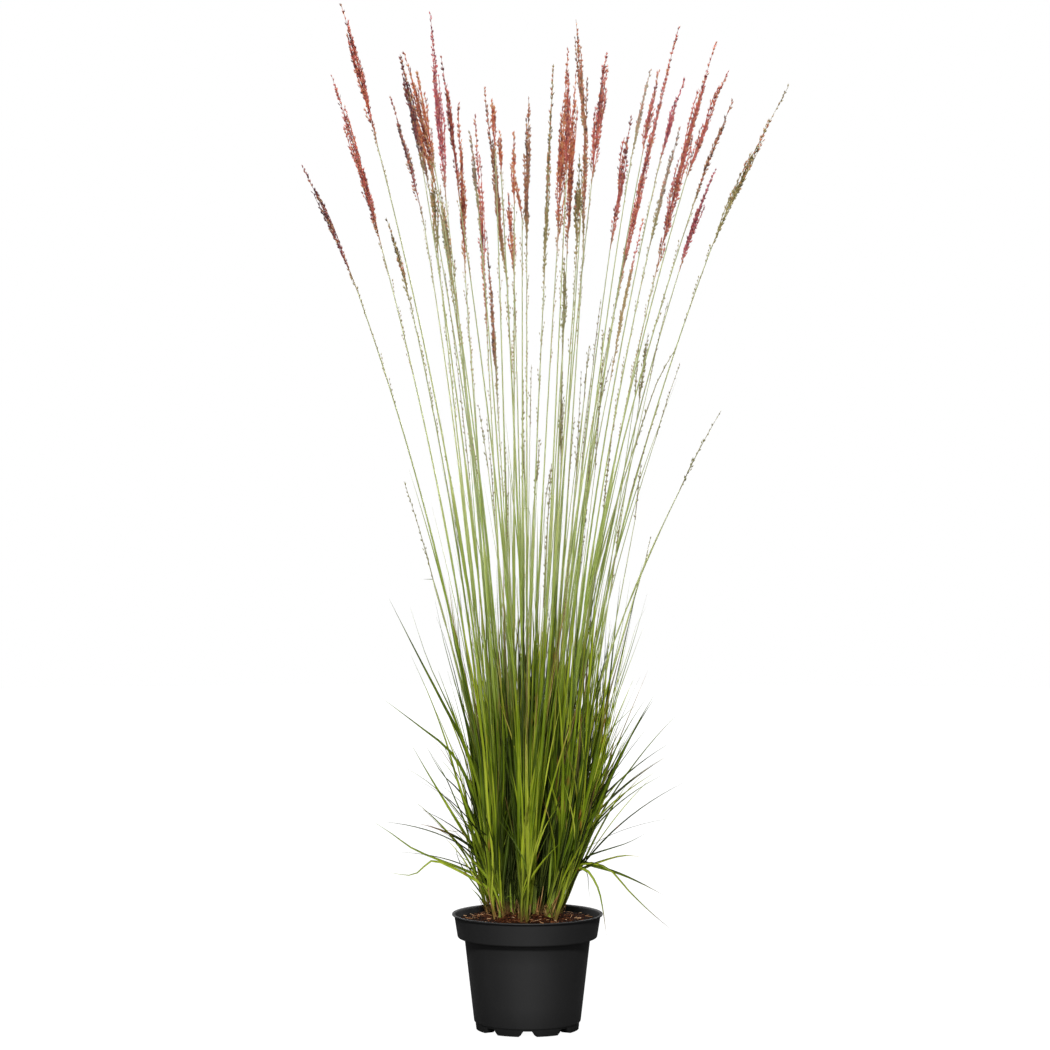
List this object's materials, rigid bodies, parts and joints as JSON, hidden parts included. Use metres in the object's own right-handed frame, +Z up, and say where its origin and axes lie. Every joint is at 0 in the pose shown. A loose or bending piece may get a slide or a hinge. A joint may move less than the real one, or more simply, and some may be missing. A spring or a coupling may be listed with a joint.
{
  "type": "potted feather reed grass",
  "caption": "Upright clump of feather reed grass with narrow arching leaves and tall stems that end in slim reddish plumes, standing in a round black nursery pot.",
  "frame": {"origin": "middle of the flat face under the pot that it rests on", "axes": "+Z up along the pot's axis and the stems, -Y to the front, +X to the right seen from the front"},
  "size_m": [0.7365, 0.5672, 1.5927],
  "materials": {
    "pot_plastic": "matte black, fine moulded surface",
    "peat": "loose brown peat with bark and straw bits",
    "leaf": "satin yellow-green leaf with fine ribs",
    "plume_red": "dry red spikelets",
    "plume_pink": "dry pink spikelets",
    "plume_rust": "dry rust spikelets",
    "plume_brown": "dry brown spikelets",
    "plume_purple": "dry purple spikelets",
    "plume_olive": "dry olive spikelets",
    "plume_grey": "dry grey spikelets"
  },
  "bodies": {
    "root": {"pot": "pot_plastic", "peat": "peat", "tuft_01": "leaf", "tuft_02": "leaf", "tuft_03": "leaf", "tuft_04": "leaf", "tuft_05": "leaf", "tuft_06": "leaf", "tuft_07": "leaf", "tuft_08": "leaf", "tuft_09": "leaf", "tuft_10": "leaf", "tuft_11": "leaf", "tuft_12": "leaf", "tuft_13": "leaf", "plume_01": "plume_purple", "plume_02": "plume_red", "plume_03": "plume_red", "plume_04": "plume_olive", "plume_05": "plume_purple", "plume_06": "plume_purple", "plume_07": "plume_rust", "plume_08": "plume_purple", "plume_09": "plume_rust", "plume_10": "plume_pink", "plume_11": "plume_olive", "plume_12": "plume_olive", "plume_13": "plume_red", "plume_14": "plume_rust", "plume_15": "plume_grey", "plume_16": "plume_red", "plume_17": "plume_brown", "plume_18": "plume_brown", "plume_19": "plume_rust", "plume_20": "plume_rust", "plume_21": "plume_rust", "plume_22": "plume_rust", "plume_23": "plume_rust", "plume_24": "plume_brown", "plume_25": "plume_olive", "plume_26": "plume_rust", "plume_27": "plume_red", "plume_28": "plume_brown", "plume_29": "plume_rust", "plume_30": "plume_olive", "plume_31": "plume_brown", "plume_32": "plume_red", "plume_33": "plume_red", "plume_34": "plume_grey", "plume_35": "plume_red", "plume_36": "plume_red", "plume_37": "plume_red", "plume_38": "plume_grey", "plume_39": "plume_pink", "plume_40": "plume_red", "plume_41": "plume_pink", "plume_42": "plume_red", "plume_43": "plume_brown", "plume_44": "plume_olive"}
  },
  "joints": []
}
